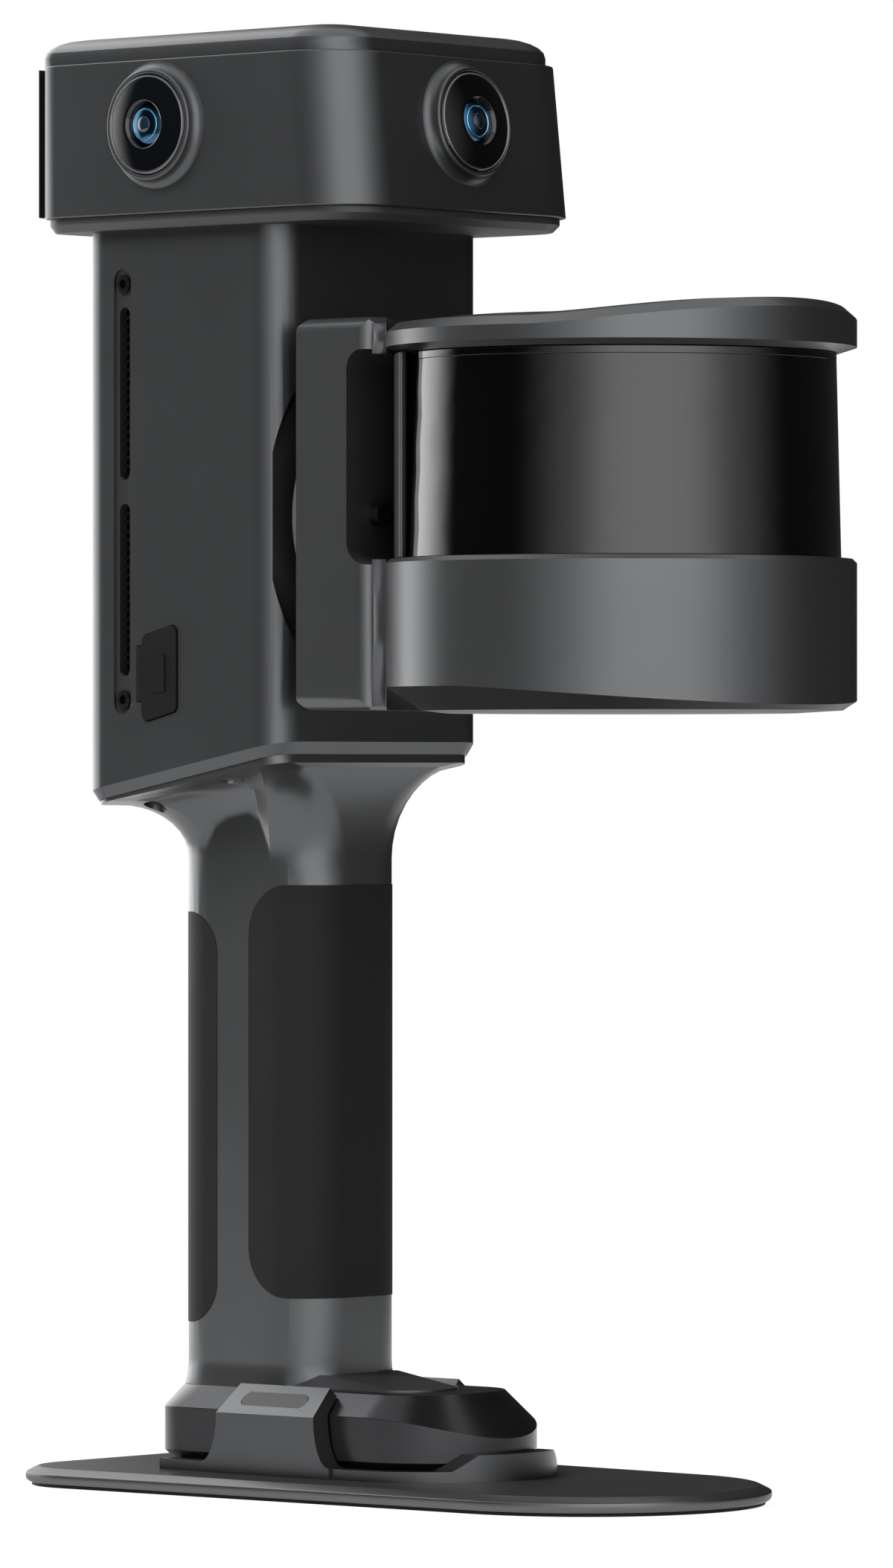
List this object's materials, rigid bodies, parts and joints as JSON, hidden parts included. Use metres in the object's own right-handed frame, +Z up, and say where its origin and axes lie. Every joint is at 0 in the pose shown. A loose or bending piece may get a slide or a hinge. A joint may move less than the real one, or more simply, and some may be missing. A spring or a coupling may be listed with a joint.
{
  "type": "handheld lidar scanner",
  "caption": "Handheld mapping scanner on its stand: long grip, tall body, camera head on top, and a lidar puck in a turning side arm",
  "frame": {"origin": "centre of the grip's axis on the underside of the stand's pad", "axes": "+Z up, -Y toward the lidar side, +X to the scanner's right hand seen from behind the lidar"},
  "size_m": [0.1102, 0.2124, 0.3488],
  "materials": {
    "shell": "satin metallic gunmetal",
    "base_metal": "satin metallic gunmetal",
    "cradle_metal": "satin metallic grey",
    "rubber_pad": "matt, fine grain",
    "flap_rubber": "matt",
    "dark_plastic": "matt",
    "screw_steel": "turned",
    "machined": "machined",
    "window_glass": "polished, near black",
    "lens_glass": "polished, coated",
    "board_green": "solder mask",
    "copper": "wound wire",
    "cell_wrap": "shrink wrap",
    "grille_steel": "blackened"
  },
  "bodies": {
    "base": {"base_pad": "rubber_pad", "base_plate": "base_metal", "cradle": "cradle_metal", "claw_inserts": "dark_plastic", "cradle_screws": "screw_steel"},
    "scanner": {"foot": "shell", "foot_screws": "screw_steel", "handle_shell": "shell", "grip_pad_front": "rubber_pad", "grip_pad_rear": "rubber_pad", "battery_holder": "dark_plastic", "battery_cells": "cell_wrap", "neck_screws": "screw_steel", "body_shell": "shell", "rear_cover": "shell", "rear_cover_screws": "screw_steel", "vent_grille_left": "grille_steel", "vent_grille_right": "grille_steel", "vent_screws": "grille_steel", "port_socket": "screw_steel", "button_ring": "screw_steel", "button_switch": "dark_plastic", "main_board": "board_green", "heat_sink": "machined", "fan_frame": "dark_plastic", "inertial_sensor": "screw_steel", "motor_can": "machined", "motor_stator": "copper", "shaft_bearings": "screw_steel", "slip_ring": "dark_plastic", "head_base": "dark_plastic", "head_shell": "shell", "head_back_plate": "shell", "head_lid": "shell", "lens_bezels": "shell", "lens_glasses": "lens_glass", "lens_barrels": "dark_plastic", "camera_boards": "board_green"},
    "arm": {"hub_flange": "shell", "arm_bracket": "shell", "bracket_screws": "screw_steel", "motor_rotor": "machined", "drive_shaft": "machined", "encoder_disc": "copper", "lidar_cup": "shell", "rear_shield": "shell", "shield_seals": "flap_rubber", "arm_cap": "shell", "arm_bottom_cover": "shell", "arm_cover_screws": "screw_steel", "puck_base": "dark_plastic", "puck_window": "window_glass", "puck_top": "dark_plastic", "puck_spindle": "machined"},
    "lidar_rotor": {"puck_rotor": "machined"},
    "port_flap": {"port_cover": "flap_rubber"},
    "button": {"power_button": "dark_plastic"},
    "fan": {"fan_rotor": "dark_plastic"}
  },
  "joints": [
    {"name": "dock_slide", "type": "slide", "parent": "base", "child": "scanner", "axis": [0, 1, 0], "range_m": [0, 0.066]},
    {"name": "arm_spin", "type": "hinge", "parent": "scanner", "child": "arm", "pos_m": [0, -0.038, 0.232], "axis": [0, -1, 0], "continuous": true},
    {"name": "lidar_spin", "type": "hinge", "parent": "arm", "child": "lidar_rotor", "pos_m": [0, -0.1043, 0.232], "axis": [0, 0, 1], "continuous": true},
    {"name": "port_hinge", "type": "hinge", "parent": "scanner", "child": "port_flap", "pos_m": [-0.0376, 0.0145, 0.195], "axis": [0, 0, -1], "range_deg": [0, 110]},
    {"name": "button_press", "type": "slide", "parent": "scanner", "child": "button", "axis": [0, -1, 0], "range_m": [0, 0.0008], "stiffness_N_per_m": 1500},
    {"name": "fan_spin", "type": "hinge", "parent": "scanner", "child": "fan", "pos_m": [0, 0.011, 0.277], "axis": [0, -1, 0], "continuous": true}
  ]
}
